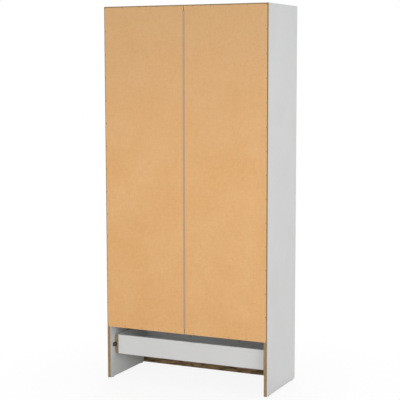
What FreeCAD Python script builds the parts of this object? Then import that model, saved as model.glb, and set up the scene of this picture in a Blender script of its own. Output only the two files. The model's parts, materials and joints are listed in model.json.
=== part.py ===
"""A tall white flat-pack wardrobe with two doors over a wide drawer.

The side panels stand on the floor and everything else hangs between them: top, hat shelf, bottom, plinth,
the doors and the drawer front.  The back is two hardboard sheets that meet in a plastic strip.

Every place is given in cabinet coordinates: x from the outer face of the left side panel, y from the front
edge of the side panels towards the back, z from the floor.  Each piece has a corner of its own in those
coordinates, and its Placement carries that corner into the model's frame, whose origin is the middle of
the bottom of the overall box.
"""

import FreeCAD, Part
import os
from collections import namedtuple
from types import SimpleNamespace

import Sketcher

# Driving dimensions in millimetres: name, value and what it measures.
DIMENSIONS = [
    ("overall_width", 820, "over the outer faces of the side panels"),
    ("overall_height", 1760, "floor to the top of the side panels"),
    ("side_depth", 355, "front edge to rear edge of a side panel"),
    ("board", 16, "thickness of the cabinet boards"),
    ("base_height", 254, "floor to the underside of the bottom panel"),
    ("hat_space", 284, "clear height over the hat shelf"),
    ("shelf_front_gap", 5, "hat shelf behind the inner face of a door"),
    ("shelf_back_gap", 0.6, "hat shelf in front of the joint strip"),
    ("plinth_height", 60, "height of the plinth board"),
    ("plinth_thickness", 16, "thickness of the plinth board"),
    ("back_thickness", 3, "hardboard of the back"),
    ("back_inset", 5.5, "back inside the outer faces of sides and top"),
    ("strip_width", 10, "joint strip, over its flanges"),
    ("strip_web", 2.2, "joint strip, between the two back panels"),
    ("strip_flange", 0.8, "joint strip, thickness of a flange"),
    ("strip_play", 0.1, "joint strip, clear of the hardboard on each face"),
    ("strip_edge_play", 0.5, "joint strip, clear of the hardboard's edge"),
    ("strip_end_gap", 11, "joint strip, short of the top and bottom panels"),
    ("strip_joint_height", 722, "floor to the butt joint of the two strips"),
    ("nail_length", 18, "back nail under its head"),
    ("nail_diameter", 1.5, "back nail"),
    ("nail_head_diameter", 3.4, "back nail"),
    ("nail_head_height", 0.6, "back nail"),
    ("glide_height", 4, "side panels above the floor"),
    ("glide_diameter", 15, "glide, over its rim"),
    ("glide_tip_diameter", 12, "glide, where it meets the floor"),
    ("glide_tip_height", 1, "glide, below its rim"),
    ("glide_setback", 30, "glide centre from a panel's front or rear edge"),
    ("glide_nail_diameter", 2, "glide's own nail"),
    ("glide_nail_length", 15, "glide's own nail"),
    ("hole_fit", 0.2, "drilled hole wider than what it holds"),
    ("end_fit", 0.5, "blind hole deeper than what it holds"),
    ("bolt_inset", 50, "cam bolt from the front or rear edge of the sides"),
    ("bolt_thread_diameter", 5, "cam bolt, in the side panel"),
    ("bolt_thread_length", 11, "cam bolt, in the side panel"),
    ("bolt_shaft_diameter", 6.6, "cam bolt, in its channel"),
    ("bolt_channel_diameter", 8, "channel drilled for the cam bolt"),
    ("bolt_tip", 3, "cam bolt past the middle of its cam"),
    ("cam_reach", 34, "panel end to the middle of a cam"),
    ("cam_diameter", 15, "pocket bored for a cam"),
    ("cam_past_bolt", 4.5, "pocket bored for a cam, beyond the axis of its bolt"),
    ("dowel_pitch", 32, "dowel from the cam bolt beside it"),
    ("dowel_diameter", 8, "wooden dowel"),
    ("dowel_length", 30, "wooden dowel"),
    ("dowel_in_side", 10, "length of a dowel inside the side panel"),
    ("plinth_dowel_pitch", 26, "between the two dowels at a plinth end"),
    ("front_gap", 3, "gap round doors and drawer front"),
    ("meeting_gap", 3, "gap between the two doors"),
    ("hinge_gap", 3, "gap between a side panel and its door"),
    ("door_thickness", 16, "door board"),
    ("hinge_inset", 130, "hinge middle from the end of a door"),
    ("hinge_length", 64, "over the knuckles"),
    ("hinge_middle_knuckle", 32, "knuckle of the door leaf"),
    ("hinge_knuckle_gap", 0.4, "between neighbouring knuckles"),
    ("hinge_knuckle_diameter", 6, "outside of a knuckle"),
    ("hinge_axis_front", 3.5, "hinge axis in front of the door's face"),
    ("hinge_leaf_thickness", 1, "steel of both leaves"),
    ("hinge_frame_leaf_depth", 22, "leaf on the side panel"),
    ("hinge_leaf_rear_gap", 1.5, "leaf on the door's edge, short of the door's inner face"),
    ("hinge_pin_diameter", 2.5, "hinge pin"),
    ("hinge_pin_play", 0.08, "pin clear of its bore, all round"),
    ("hinge_pin_head_diameter", 4.6, "hinge pin"),
    ("hinge_pin_head_height", 1.2, "hinge pin"),
    ("hinge_screw_pitch", 40, "between the two screws of a leaf"),
    ("hinge_screw_head_height", 0.6, "head sunk into the leaf"),
    ("screw_diameter", 3.2, "wood screw"),
    ("screw_length", 12, "wood screw, in the board"),
    ("screw_head_diameter", 6, "wood screw"),
    ("screw_head_height", 1.8, "wood screw"),
    ("handle_height", 1010, "floor to the middle of a door handle"),
    ("handle_inset", 38, "door handle from the door's free edge"),
    ("handle_projection", 30, "front of a handle before the door's face"),
    ("handle_length", 168, "handle bar"),
    ("handle_bar_diameter", 10, "handle bar"),
    ("handle_post_diameter", 8, "handle post"),
    ("handle_post_pitch", 128, "between the posts of a handle"),
    ("handle_screw_diameter", 4, "machine screw of a handle"),
    ("handle_screw_reach", 10, "machine screw inside the post"),
    ("handle_screw_head_diameter", 8, "machine screw of a handle"),
    ("handle_screw_head_height", 2.4, "machine screw of a handle"),
    ("drawer_handle_inset", 200, "drawer handle middle from the end of the front"),
    ("drawer_front_thickness", 16, "drawer front board"),
    ("drawer_board", 16, "sides and back of the drawer"),
    ("drawer_top_space", 47.5, "drawer's sides below the bottom panel"),
    ("drawer_box_height", 92, "sides and back of the drawer"),
    ("drawer_rear_space", 43, "drawer back in front of the cabinet's rear edges"),
    ("drawer_sheet", 3, "hardboard bottom of the drawer"),
    ("drawer_sheet_level", 10, "bottom sheet above the drawer's underside"),
    ("drawer_sheet_groove", 7, "depth of the groove for the bottom sheet"),
    ("drawer_bolt_inset", 24, "cam bolt from the upper or lower edge of the drawer"),
    ("drawer_screw_diameter", 5, "screw through a drawer side"),
    ("drawer_screw_length", 45, "screw through a drawer side"),
    ("drawer_screw_head_diameter", 9, "screw through a drawer side"),
    ("drawer_screw_head_height", 3, "screw through a drawer side"),
    ("runner_gap", 3.5, "drawer side clear of the side panel"),
    ("runner_rear_space", 22, "runner in front of the cabinet's rear edges"),
    ("runner_engagement", 6, "runner inside the groove of the drawer side"),
    ("runner_height", 17, "plastic runner"),
    ("runner_front_gap", 4, "runner behind the drawer front"),
    ("runner_top_play", 0.3, "groove above the runner"),
    ("runner_bottom_play", 0.7, "groove below the runner"),
    ("runner_side_play", 1, "groove deeper than the runner reaches"),
    ("runner_screw_inset", 30, "runner screw from the end of its runner"),
    ("catch_offset", 14, "catch from the middle of the cabinet"),
    ("catch_width", 46, "over the flange of a catch"),
    ("catch_body_width", 26, "housing round the magnet"),
    ("catch_depth", 15, "front to back of a catch"),
    ("catch_height", 18, "catch, off the panel that carries it"),
    ("catch_flange_thickness", 4, "flange of a catch"),
    ("catch_gap", 0.3, "magnet clear of the strike plate"),
    ("magnet_width", 20, "magnet"),
    ("magnet_depth", 8, "magnet"),
    ("magnet_height", 10, "magnet"),
    ("magnet_proud", 0.4, "magnet in front of its housing"),
    ("strike_margin", 2, "strike plate from the door's end"),
    ("strike_width", 30, "strike plate"),
    ("strike_height", 10, "strike plate"),
    ("strike_thickness", 1.5, "strike plate"),
    ("rail_diameter", 16, "hanging rail"),
    ("rail_wall", 1.2, "tube wall of a hanging rail"),
    ("rail_drop", 48, "hat shelf's underside to the middle of a rail"),
    ("rail_inset", 22, "rail end from the front or rear edge of the hat shelf"),
    ("rail_cap_thickness", 2, "end cap outside the tube"),
    ("rail_cap_rim", 1, "end cap wider than the tube, all round"),
    ("rail_cap_plug", 8, "end cap inside the tube"),
    ("bracket_ring_diameter", 24, "ring of a rail bracket"),
    ("bracket_depth", 12, "ring of a rail bracket, along the rail"),
    ("bracket_stem_width", 14, "stem of a rail bracket"),
    ("bracket_flange_width", 48, "flange of a rail bracket, across the rail"),
    ("bracket_flange_thickness", 3, "flange of a rail bracket"),
    ("bracket_screw_pitch", 34, "between the two screws of a bracket"),
]

SIDES = ("left", "right")
INWARD = {"left": 1, "right": -1}   # along x, towards the cabinet's middle
PLANES = {"X": "YZ_Plane", "Y": "XZ_Plane", "Z": "XY_Plane"}
MOST_FILES = 60
LEAST_CUT = 1e-3   # cubic millimetres
NAIL_STEPS_UP = 14
NAIL_STEPS_ACROSS = 9

Disc = namedtuple("Disc", "across up diameter")
Oblong = namedtuple("Oblong", "across up width height")


class Size:
    """A length held as a formula over the sheet and as its value in millimetres."""

    def __init__(self, formula, value):
        self.formula = formula
        self.value = value

    @staticmethod
    def of(length):
        return length if isinstance(length, Size) else Size(repr(float(length)), float(length))

    def __add__(self, other):
        other = Size.of(other)
        return Size(f"({self.formula} + {other.formula})", self.value + other.value)

    def __sub__(self, other):
        other = Size.of(other)
        return Size(f"({self.formula} - {other.formula})", self.value - other.value)

    def __mul__(self, other):
        other = Size.of(other)
        return Size(f"({self.formula} * {other.formula})", self.value * other.value)

    def __truediv__(self, other):
        other = Size.of(other)
        return Size(f"({self.formula} / {other.formula})", self.value / other.value)

    def __neg__(self):
        return Size(f"(0 - {self.formula})", -self.value)

    def __rsub__(self, other):
        return Size.of(other) - self


def fill_sheet(doc):
    """The spreadsheet of driving dimensions, and a Size for each of them by name."""
    sheet = doc.addObject("Spreadsheet::Sheet", "dims")
    sizes = SimpleNamespace()
    for row, (name, value, meaning) in enumerate(DIMENSIONS, start=1):
        sheet.set(f"A{row}", name.replace("_", " "))
        sheet.set(f"B{row}", str(value))
        sheet.set(f"C{row}", meaning)
        sheet.setAlias(f"B{row}", name)
        setattr(sizes, name, Size(f"dims.{name}", float(value)))
    return sizes


def derive_places(d):
    """Faces and levels that several pieces share, in cabinet coordinates."""
    p = SimpleNamespace()
    p.floor = Size.of(0)
    p.front = Size.of(0)
    p.rear = d.side_depth
    p.middle = d.overall_width / 2
    p.inner_left = d.board
    p.inner_right = d.overall_width - d.board
    p.inner_width = d.overall_width - d.board * 2
    p.under_top = d.overall_height - d.board
    p.over_base = d.base_height + d.board

    # Joints between the side panels and the panels that they carry.
    p.shelf_front = d.door_thickness + d.shelf_front_gap
    p.strip_rear_reach = d.back_thickness + d.strip_play + d.strip_flange
    p.shelf_rear = p.rear - d.strip_play - d.strip_flange - d.shelf_back_gap
    p.shelf_underside = p.under_top - d.hat_space - d.board
    p.panel_undersides = (d.base_height, p.shelf_underside, p.under_top)
    p.bolt_rows = (d.bolt_inset, p.rear - d.bolt_inset)
    p.dowel_rows = (d.bolt_inset + d.dowel_pitch, p.rear - d.bolt_inset - d.dowel_pitch)
    plinth_middle = d.glide_height + d.plinth_height / 2
    p.plinth_dowels = tuple(
        (d.plinth_thickness / 2, plinth_middle + d.plinth_dowel_pitch / 2 * way) for way in (-1, 1)
    )
    p.glide_rows = (d.glide_setback, p.rear - d.glide_setback)

    # Doors and hinges.
    p.door_bottom = p.over_base + d.front_gap
    p.door_top = p.under_top - d.front_gap
    p.door_height = p.door_top - p.door_bottom
    p.door_width = (p.inner_width - d.hinge_gap * 2 - d.meeting_gap) / 2
    p.hinge_levels = (
        p.door_bottom + d.hinge_inset,
        (p.door_bottom + p.door_top) / 2,
        p.door_top - d.hinge_inset,
    )
    p.hinge_screws = tuple(
        (d.door_thickness / 2, level + d.hinge_screw_pitch / 2 * way)
        for level in p.hinge_levels
        for way in (-1, 1)
    )

    # Drawer and runners.
    p.drawer_front_bottom = d.glide_height + d.plinth_height + d.front_gap
    p.drawer_front_height = d.base_height - d.front_gap - p.drawer_front_bottom
    p.box_base = d.base_height - d.drawer_top_space - d.drawer_box_height
    p.box_front = d.drawer_front_thickness
    p.box_rear = p.rear - d.drawer_rear_space
    p.box_depth = p.box_rear - p.box_front
    p.box_left = p.inner_left + d.runner_gap
    p.box_right = p.inner_right - d.runner_gap
    p.groove_height = d.runner_height + d.runner_top_play + d.runner_bottom_play
    p.groove_bottom = p.box_base + (d.drawer_box_height - p.groove_height) / 2
    p.groove_depth = d.runner_engagement + d.runner_side_play
    p.runner_bottom = p.groove_bottom + d.runner_bottom_play
    p.runner_level = p.runner_bottom + d.runner_height / 2
    p.runner_front = p.box_front + d.runner_front_gap
    p.runner_rear = p.rear - d.runner_rear_space
    p.runner_length = p.runner_rear - p.runner_front
    p.runner_thickness = d.runner_gap + d.runner_engagement
    p.runner_screw_rows = (
        p.runner_front + d.runner_screw_inset,
        p.runner_front + p.runner_length / 2,
        p.runner_rear - d.runner_screw_inset,
    )
    p.drawer_bolt_levels = (
        p.box_base + d.drawer_bolt_inset,
        p.box_base + d.drawer_box_height - d.drawer_bolt_inset,
    )
    p.sheet_bottom = p.box_base + d.drawer_sheet_level

    # Magnetic catches: one above and one below for each door.
    p.catch_front = d.door_thickness + d.strike_thickness + d.catch_gap
    p.catch_middles = {
        "left": p.middle - d.catch_offset - d.catch_width / 2,
        "right": p.middle + d.catch_offset + d.catch_width / 2,
    }
    p.catch_screw_shift = (d.catch_width + d.catch_body_width) / 4
    p.catch_screw_row = p.catch_front + d.magnet_proud + d.catch_depth / 2
    p.strike_shift = d.front_gap + d.strike_margin + d.strike_height / 2

    # Hanging rails, one behind the middle of each door.
    p.rail_middles = {
        "left": p.inner_left + p.inner_width / 4,
        "right": p.inner_right - p.inner_width / 4,
    }
    p.rail_level = p.shelf_underside - d.rail_drop
    p.rail_front = p.shelf_front + d.rail_inset
    p.rail_rear = p.shelf_rear - d.rail_inset
    p.rail_length = p.rail_rear - p.rail_front
    p.bracket_starts = (p.rail_front, p.rail_rear - d.bracket_depth)
    return p


class Piece:
    """One sub-part: a body with a corner of its own, built in cabinet coordinates."""

    def __init__(self, model, name, x, y, z):
        self.body = model.doc.addObject("PartDesign::Body", name)
        self.body.Label = name
        self.body.AllowCompound = True
        self.corner = {"X": Size.of(x), "Y": Size.of(y), "Z": Size.of(z)}
        for axis, shift in model.origin.items():
            self.body.setExpression(f"Placement.Base.{axis.lower()}", (self.corner[axis] + shift).formula)
        model.pieces.append(self)

    def add(self, axis, start, length, *outlines):
        """Pads the outlines, drawn across the axis, from start towards + along it."""
        pad = self.extrude("PartDesign::Pad", axis, start, length, outlines)
        pad.Reversed = axis == "Y"

    def cut(self, axis, start, length, *outlines):
        """Pockets the outlines, drawn across the axis, from start towards + along it."""
        pocket = self.extrude("PartDesign::Pocket", axis, start, length, outlines)
        pocket.Reversed = axis != "Y"

    def extrude(self, kind, axis, start, length, outlines):
        count = len(self.body.Group)
        sketch = self.body.newObject("Sketcher::SketchObject", f"{self.body.Name}_outline_{count}")
        plane = next(f for f in self.body.Origin.OriginFeatures if f.Role == PLANES[axis])
        sketch.AttachmentSupport = [(plane, "")]
        sketch.MapMode = "FlatFace"
        level = Size.of(start) - self.corner[axis]
        # The XZ plane faces -Y, so its offset counts the other way.
        offset = -level if axis == "Y" else level
        sketch.setExpression("AttachmentOffset.Base.z", offset.formula)
        across, up = (self.corner[name] for name in "XYZ" if name != axis)
        for outline in outlines:
            draw = draw_disc if isinstance(outline, Disc) else draw_oblong
            draw(sketch, outline, Size.of(outline.across) - across, Size.of(outline.up) - up)
        feature = self.body.newObject(kind, f"{self.body.Name}_{kind.split('::')[1].lower()}_{count}")
        feature.Profile = sketch
        feature.setExpression("Length", Size.of(length).formula)
        sketch.Visibility = False
        return feature


def set_dimension(sketch, kind, places, size):
    """A dimension of a sketch, driven by the sheet."""
    index = sketch.addConstraint(Sketcher.Constraint(kind, *places, size.value))
    name = f"size_{index}"
    sketch.renameConstraint(index, name)
    sketch.setExpression(f"Constraints.{name}", size.formula)


def draw_disc(sketch, disc, across, up):
    diameter = Size.of(disc.diameter)
    centre = FreeCAD.Vector(across.value, up.value, 0)
    circle = sketch.addGeometry(Part.Circle(centre, FreeCAD.Vector(0, 0, 1), diameter.value / 2), False)
    set_dimension(sketch, "DistanceX", (-1, 1, circle, 3), across)
    set_dimension(sketch, "DistanceY", (-1, 1, circle, 3), up)
    set_dimension(sketch, "Diameter", (circle,), diameter)


def draw_oblong(sketch, oblong, across, up):
    width = Size.of(oblong.width)
    height = Size.of(oblong.height)
    low_x, low_y = across.value, up.value
    high_x, high_y = low_x + width.value, low_y + height.value
    corners = [(low_x, low_y), (high_x, low_y), (high_x, high_y), (low_x, high_y)]
    lines = []
    for (x_from, y_from), (x_to, y_to) in zip(corners, corners[1:] + corners[:1]):
        line = Part.LineSegment(FreeCAD.Vector(x_from, y_from, 0), FreeCAD.Vector(x_to, y_to, 0))
        lines.append(sketch.addGeometry(line, False))
    for line, following in zip(lines, lines[1:] + lines[:1]):
        sketch.addConstraint(Sketcher.Constraint("Coincident", line, 2, following, 1))
    for level, upright in ((lines[0], lines[1]), (lines[2], lines[3])):
        sketch.addConstraint(Sketcher.Constraint("Horizontal", level))
        sketch.addConstraint(Sketcher.Constraint("Vertical", upright))
    set_dimension(sketch, "DistanceX", (-1, 1, lines[0], 1), across)
    set_dimension(sketch, "DistanceY", (-1, 1, lines[0], 1), up)
    set_dimension(sketch, "DistanceX", (lines[0], 1, lines[0], 2), width)
    set_dimension(sketch, "DistanceY", (lines[1], 1, lines[1], 2), height)


def run_from(face, way, length):
    """Where a run of this length starts, if it leaves the face towards + (way 1) or - (way -1)."""
    return face if way > 0 else face - length


def inner_face(p, side):
    return p.inner_left if side == "left" else p.inner_right


def make_side_panel(model, side):
    d, p = model.d, model.p
    x = p.floor if side == "left" else p.inner_right
    face = inner_face(p, side)
    panel = Piece(model, f"side_panel_{side}", x, p.front, d.glide_height)
    outline = Oblong(x, p.front, d.board, d.side_depth)
    panel.add("Z", d.glide_height, d.overall_height - d.glide_height, outline)
    levels = [underside + d.board / 2 for underside in p.panel_undersides]
    drillings = [
        (
            d.bolt_thread_diameter,
            d.bolt_thread_length,
            [(row, level) for level in levels for row in p.bolt_rows],
        ),
        (
            d.dowel_diameter,
            d.dowel_in_side,
            [(row, level) for level in levels for row in p.dowel_rows] + list(p.plinth_dowels),
        ),
        (
            d.screw_diameter,
            d.screw_length,
            [(row, p.runner_level) for row in p.runner_screw_rows] + list(p.hinge_screws),
        ),
    ]
    for diameter, depth, places in drillings:
        hole = depth + d.end_fit
        discs = [Disc(row, level, diameter + d.hole_fit) for row, level in places]
        panel.cut("X", run_from(face, -INWARD[side], hole), hole, *discs)
    middle = x + d.board / 2
    nails = [Disc(middle, row, d.glide_nail_diameter + d.hole_fit) for row in p.glide_rows]
    panel.cut("Z", d.glide_height, d.glide_nail_length + d.end_fit, *nails)


def make_cross_panel(model, name, underside, front, rear):
    """A panel between the side panels, bored at its ends for cams, cam bolts and dowels."""
    d, p = model.d, model.p
    panel = Piece(model, name, p.inner_left, front, underside)
    panel.add("Z", underside, d.board, Oblong(p.inner_left, front, p.inner_width, rear - front))
    level = underside + d.board / 2
    in_panel = d.dowel_length - d.dowel_in_side + d.end_fit
    for side in SIDES:
        face = inner_face(p, side)
        channels = [Disc(row, level, d.bolt_channel_diameter) for row in p.bolt_rows]
        panel.cut("X", run_from(face, INWARD[side], d.cam_reach), d.cam_reach, *channels)
        dowels = [Disc(row, level, d.dowel_diameter + d.hole_fit) for row in p.dowel_rows]
        panel.cut("X", run_from(face, INWARD[side], in_panel), in_panel, *dowels)
    cams = [Disc(x, row, d.cam_diameter) for x in cam_middles(d, p) for row in p.bolt_rows]
    panel.cut("Z", underside, cam_depth(d, d.board), *cams)
    return panel


def cam_depth(d, board):
    """Depth of the pocket for a cam in a board that has its bolt along the middle."""
    return board / 2 + d.cam_past_bolt


def cam_middles(d, p):
    return (p.inner_left + d.cam_reach, p.inner_right - d.cam_reach)


def catch_screw_places(p):
    return [
        (middle + p.catch_screw_shift * way, p.catch_screw_row)
        for middle in p.catch_middles.values()
        for way in (-1, 1)
    ]


def make_cross_panels(model):
    d, p = model.d, model.p
    pilot = d.screw_length + d.end_fit
    hole = d.screw_diameter + d.hole_fit
    catch_holes = [Disc(x, row, hole) for x, row in catch_screw_places(p)]

    bottom = make_cross_panel(model, "bottom_panel", d.base_height, p.front, p.rear)
    bottom.cut("Z", p.over_base - pilot, pilot, *catch_holes)
    top = make_cross_panel(model, "top_panel", p.under_top, p.front, p.rear)
    top.cut("Z", p.under_top, pilot, *catch_holes)
    shelf = make_cross_panel(model, "hat_shelf", p.shelf_underside, p.shelf_front, p.shelf_rear)
    bracket_holes = [Disc(x, row, hole) for x, row in bracket_screw_places(d, p)]
    shelf.cut("Z", p.shelf_underside, pilot, *bracket_holes)


def make_plinth(model):
    d, p = model.d, model.p
    in_plinth = d.dowel_length - d.dowel_in_side + d.end_fit
    plinth = Piece(model, "plinth", p.inner_left, p.front, d.glide_height)
    outline = Oblong(p.inner_left, p.front, p.inner_width, d.plinth_thickness)
    plinth.add("Z", d.glide_height, d.plinth_height, outline)
    holes = [Disc(row, level, d.dowel_diameter + d.hole_fit) for row, level in p.plinth_dowels]
    for side in SIDES:
        plinth.cut("X", run_from(inner_face(p, side), INWARD[side], in_plinth), in_plinth, *holes)


def make_cabinet_joints(model):
    """Cam bolts, cams and dowels between the side panels and what they carry."""
    d, p = model.d, model.p
    levels = [underside + d.board / 2 for underside in p.panel_undersides]
    bolts = Piece(model, "cabinet_cam_bolts", p.floor, p.front, p.floor)
    cams = Piece(model, "cabinet_cams", p.floor, p.front, p.floor)
    dowels = Piece(model, "cabinet_dowels", p.floor, p.front, p.floor)
    shaft = d.cam_reach + d.bolt_tip
    for side in SIDES:
        face = inner_face(p, side)
        places = [(row, level) for level in levels for row in p.bolt_rows]
        threads = [Disc(row, level, d.bolt_thread_diameter) for row, level in places]
        bolts.add("X", run_from(face, -INWARD[side], d.bolt_thread_length), d.bolt_thread_length, *threads)
        shafts = [Disc(row, level, d.bolt_shaft_diameter) for row, level in places]
        bolts.add("X", run_from(face, INWARD[side], shaft), shaft, *shafts)
        pegs = [Disc(row, level, d.dowel_diameter) for level in levels for row in p.dowel_rows]
        pegs += [Disc(row, level, d.dowel_diameter) for row, level in p.plinth_dowels]
        outer_end = face - d.dowel_in_side * INWARD[side]
        dowels.add("X", run_from(outer_end, INWARD[side], d.dowel_length), d.dowel_length, *pegs)
    for underside in p.panel_undersides:
        cam = d.cam_diameter - d.hole_fit
        discs = [Disc(x, row, cam) for x in cam_middles(d, p) for row in p.bolt_rows]
        cams.add("Z", underside, cam_depth(d, d.board) - d.end_fit, *discs)
    past = d.bolt_tip + d.end_fit
    channel = d.bolt_shaft_diameter + d.hole_fit * 2
    for side, x in zip(SIDES, cam_middles(d, p)):
        start = x - d.cam_diameter / 2 if side == "left" else x - past
        discs = [Disc(row, level, channel) for level in levels for row in p.bolt_rows]
        cams.cut("X", start, d.cam_diameter / 2 + past, *discs)


def make_glides(model):
    d, p = model.d, model.p
    places = [(x, row) for x in (d.board / 2, d.overall_width - d.board / 2) for row in p.glide_rows]
    glides = Piece(model, "floor_glides", p.floor, p.front, p.floor)
    tips = [Disc(x, row, d.glide_tip_diameter) for x, row in places]
    glides.add("Z", p.floor, d.glide_tip_height, *tips)
    rim = d.glide_height - d.glide_tip_height
    glides.add("Z", d.glide_tip_height, rim, *[Disc(x, row, d.glide_diameter) for x, row in places])
    nails = [Disc(x, row, d.glide_nail_diameter) for x, row in places]
    glides.add("Z", d.glide_height, d.glide_nail_length, *nails)


def make_back(model):
    """Two hardboard sheets, the strip that joins them in two lengths, and the nails."""
    d, p = model.d, model.p
    height = d.overall_height - d.back_inset - d.base_height
    width = p.middle - d.strip_web / 2 - d.strip_edge_play - d.back_inset
    starts = {"left": d.back_inset, "right": d.overall_width - d.back_inset - width}
    for side in SIDES:
        sheet = Piece(model, f"back_panel_{side}", starts[side], p.rear, d.base_height)
        sheet.add("Y", p.rear, d.back_thickness, Oblong(starts[side], d.base_height, width, height))

    ends = (p.over_base + d.strip_end_gap, d.strip_joint_height, p.under_top - d.strip_end_gap)
    for name, low, high in (("lower", ends[0], ends[1]), ("upper", ends[1], ends[2])):
        make_strip(model, f"back_strip_{name}", low, high - low)

    rows = [d.board / 2, d.overall_width - d.board / 2]
    bottom, top = d.base_height + d.board / 2, d.overall_height - d.board / 2
    rise = (top - bottom) / NAIL_STEPS_UP
    run = (rows[1] - rows[0]) / NAIL_STEPS_ACROSS
    places = [(x, bottom + rise * step) for x in rows for step in range(NAIL_STEPS_UP + 1)]
    for level in (bottom, top):
        places += [(rows[0] + run * step, level) for step in range(1, NAIL_STEPS_ACROSS)]
    nails = Piece(model, "back_nails", p.floor, p.rear, p.floor)
    outside = p.rear + d.back_thickness
    shanks = [Disc(x, level, d.nail_diameter) for x, level in places]
    nails.add("Y", outside - d.nail_length, d.nail_length, *shanks)
    heads = [Disc(x, level, d.nail_head_diameter) for x, level in places]
    nails.add("Y", outside, d.nail_head_height, *heads)


def make_strip(model, name, low, length):
    """An H section: two flanges over the faces of the hardboard and a web between its edges."""
    d, p = model.d, model.p
    left = p.middle - d.strip_width / 2
    inside = p.rear - d.strip_play
    slot = d.back_thickness + d.strip_play * 2
    slot_depth = (d.strip_width - d.strip_web) / 2
    strip = Piece(model, name, left, inside - d.strip_flange, low)
    outline = Oblong(left, inside - d.strip_flange, d.strip_width, slot + d.strip_flange * 2)
    strip.add("Z", low, length, outline)
    slots = [Oblong(x, inside, slot_depth, slot) for x in (left, p.middle + d.strip_web / 2)]
    strip.cut("Z", low, length, *slots)


def make_door(model, side):
    d, p = model.d, model.p
    hinge_edge = hinge_edge_of(d, p, side)
    left = run_from(hinge_edge, INWARD[side], p.door_width)
    door = Piece(model, f"door_{side}", left, p.front, p.door_bottom)
    door.add("Z", p.door_bottom, p.door_height, Oblong(left, p.front, p.door_width, d.door_thickness))
    pilot = d.screw_length + d.end_fit
    hole = d.screw_diameter + d.hole_fit
    edge_holes = [Disc(row, z, hole) for row, z in p.hinge_screws]
    door.cut("X", run_from(hinge_edge, INWARD[side], pilot), pilot, *edge_holes)
    through = [Disc(x, z, d.handle_screw_diameter + d.hole_fit) for x, z in handle_posts(d, p, side)]
    door.cut("Y", p.front, d.door_thickness, *through)
    strikes = [Disc(p.catch_middles[side], z, hole) for z in strike_levels(p)]
    door.cut("Y", d.door_thickness - pilot, pilot, *strikes)


def hinge_edge_of(d, p, side):
    return p.inner_left + d.hinge_gap if side == "left" else p.inner_right - d.hinge_gap


def handle_posts(d, p, side):
    """Where the two posts of a door handle stand on the door."""
    edge = hinge_edge_of(d, p, side)
    reach = p.door_width - d.handle_inset
    x = edge + reach if side == "left" else edge - reach
    return [(x, d.handle_height + d.handle_post_pitch / 2 * way) for way in (-1, 1)]


def drawer_handle_posts(d, p, side):
    """Where the two posts of a drawer handle stand on the drawer front."""
    end = p.inner_left if side == "left" else p.inner_right
    middle = end + d.drawer_handle_inset if side == "left" else end - d.drawer_handle_inset
    level = p.drawer_front_bottom + p.drawer_front_height / 2
    return [(middle + d.handle_post_pitch / 2 * way, level) for way in (-1, 1)]


def strike_levels(p):
    return (p.over_base + p.strike_shift, p.under_top - p.strike_shift)


def make_handle(model, name, posts, axis):
    """A straight bar on two posts; axis is the one that the bar runs along."""
    d, p = model.d, model.p
    bar_row = d.handle_bar_diameter / 2 - d.handle_projection
    (x, z), (x_far, z_far) = posts
    overhang = (d.handle_length - d.handle_post_pitch) / 2
    handle = Piece(model, name, x, p.front, z)
    if axis == "Z":
        handle.add("Z", z - overhang, d.handle_length, Disc(x, bar_row, d.handle_bar_diameter))
    else:
        handle.add("X", x - overhang, d.handle_length, Disc(bar_row, z, d.handle_bar_diameter))
    stems = [Disc(*place, d.handle_post_diameter) for place in posts]
    handle.add("Y", bar_row, -bar_row, *stems)
    reach = d.handle_screw_reach + d.end_fit
    threads = [Disc(*place, d.handle_screw_diameter + d.hole_fit) for place in posts]
    handle.cut("Y", p.front - reach, reach, *threads)


def make_handle_screws(model, name, posts, board):
    """Machine screws from the inner face, through the board, into the handle's posts."""
    d, p = model.d, model.p
    screws = Piece(model, name, p.floor, p.front, p.floor)
    shanks = [Disc(x, z, d.handle_screw_diameter) for x, z in posts]
    screws.add("Y", p.front - d.handle_screw_reach, d.handle_screw_reach + board, *shanks)
    heads = [Disc(x, z, d.handle_screw_head_diameter) for x, z in posts]
    screws.add("Y", board, d.handle_screw_head_height, *heads)


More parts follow.
